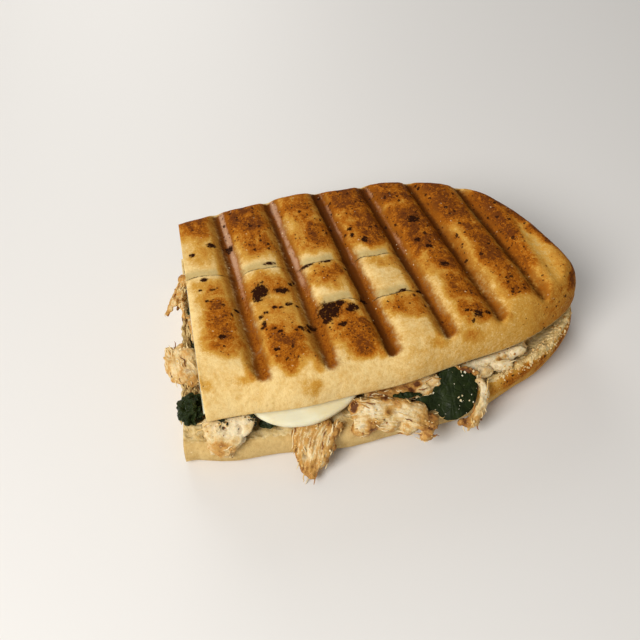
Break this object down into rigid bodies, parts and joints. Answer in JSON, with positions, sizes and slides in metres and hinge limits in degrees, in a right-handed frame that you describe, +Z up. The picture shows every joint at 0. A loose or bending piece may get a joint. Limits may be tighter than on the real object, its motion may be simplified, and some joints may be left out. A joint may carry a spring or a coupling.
{
  "type": "panini half",
  "caption": "Half of a pressed and grilled chicken panini, cut across the loaf, with melted cheese and spinach showing at the open side and at the cut.",
  "frame": {"origin": "centre of the whole half's bounding box in plan, on the surface it rests on", "axes": "+X along the loaf from the straight cut to the rounded heel, -Y towards the open side where the filling shows, +Z up"},
  "size_m": [0.1666, 0.1174, 0.0423],
  "materials": {
    "crust": "golden bread crust with toasted brown patches and grill grooves",
    "crust_pale": "pale golden bread crust with cream crumb",
    "chicken": "moist fibrous cooked chicken with browned edges",
    "cheese": "smooth melted white cheese",
    "spinach": "wet dark green wilted leaf"
  },
  "bodies": {
    "root": {"bread_bottom": "crust_pale", "bread_top": "crust", "chicken_layer": "chicken", "spinach_layer": "spinach", "cheese": "cheese", "chicken_front_left": "chicken", "chicken_hanging": "chicken", "chicken_chunk": "chicken", "chicken_browned": "chicken", "chicken_curl": "chicken", "chicken_strip": "chicken", "chicken_cut_chunk": "chicken", "chicken_cut_strand": "chicken", "chicken_cut_shred": "chicken", "spinach_leaf": "spinach", "spinach_cut_clump": "spinach", "spinach_under_cheese": "spinach", "spinach_sliver": "spinach"}
  },
  "joints": []
}
